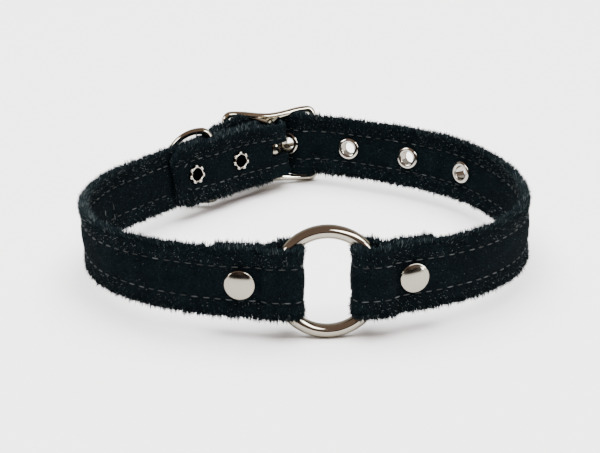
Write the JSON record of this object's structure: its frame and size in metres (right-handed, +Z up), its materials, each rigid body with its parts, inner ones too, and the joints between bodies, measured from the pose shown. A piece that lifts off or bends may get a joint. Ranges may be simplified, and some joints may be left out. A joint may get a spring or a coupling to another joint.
{
  "type": "choker necklace",
  "caption": "Stiff velvet collar choker with an O-ring at the front, rivets, eyelets, a D-ring and a centre-bar buckle at the back.",
  "frame": {"origin": "middle of the bounding box's underside, on the surface that the choker stands on", "axes": "+X along the longest side, to the right seen from the front; +Z up; the O-ring is at -Y, the front"},
  "size_m": [0.1358, 0.1196, 0.0311],
  "materials": {
    "velvet": "black velvet, matt",
    "ring_chrome": "polished",
    "rivet_chrome": "polished",
    "buckle_chrome": "polished",
    "eyelet_nickel": "polished nickel"
  },
  "bodies": {
    "root": {"strap_left": "velvet", "strap_right": "velvet", "o_ring": "ring_chrome", "d_ring": "ring_chrome", "rivet_left": "rivet_chrome", "rivet_right": "rivet_chrome", "buckle_frame": "buckle_chrome", "buckle_prong": "buckle_chrome", "chape_eyelet_1": "eyelet_nickel", "chape_eyelet_2": "eyelet_nickel", "tongue_eyelet_1": "eyelet_nickel", "tongue_eyelet_2": "eyelet_nickel", "tongue_eyelet_3": "eyelet_nickel", "tongue_eyelet_4": "eyelet_nickel", "tongue_eyelet_5": "eyelet_nickel"}
  },
  "joints": []
}
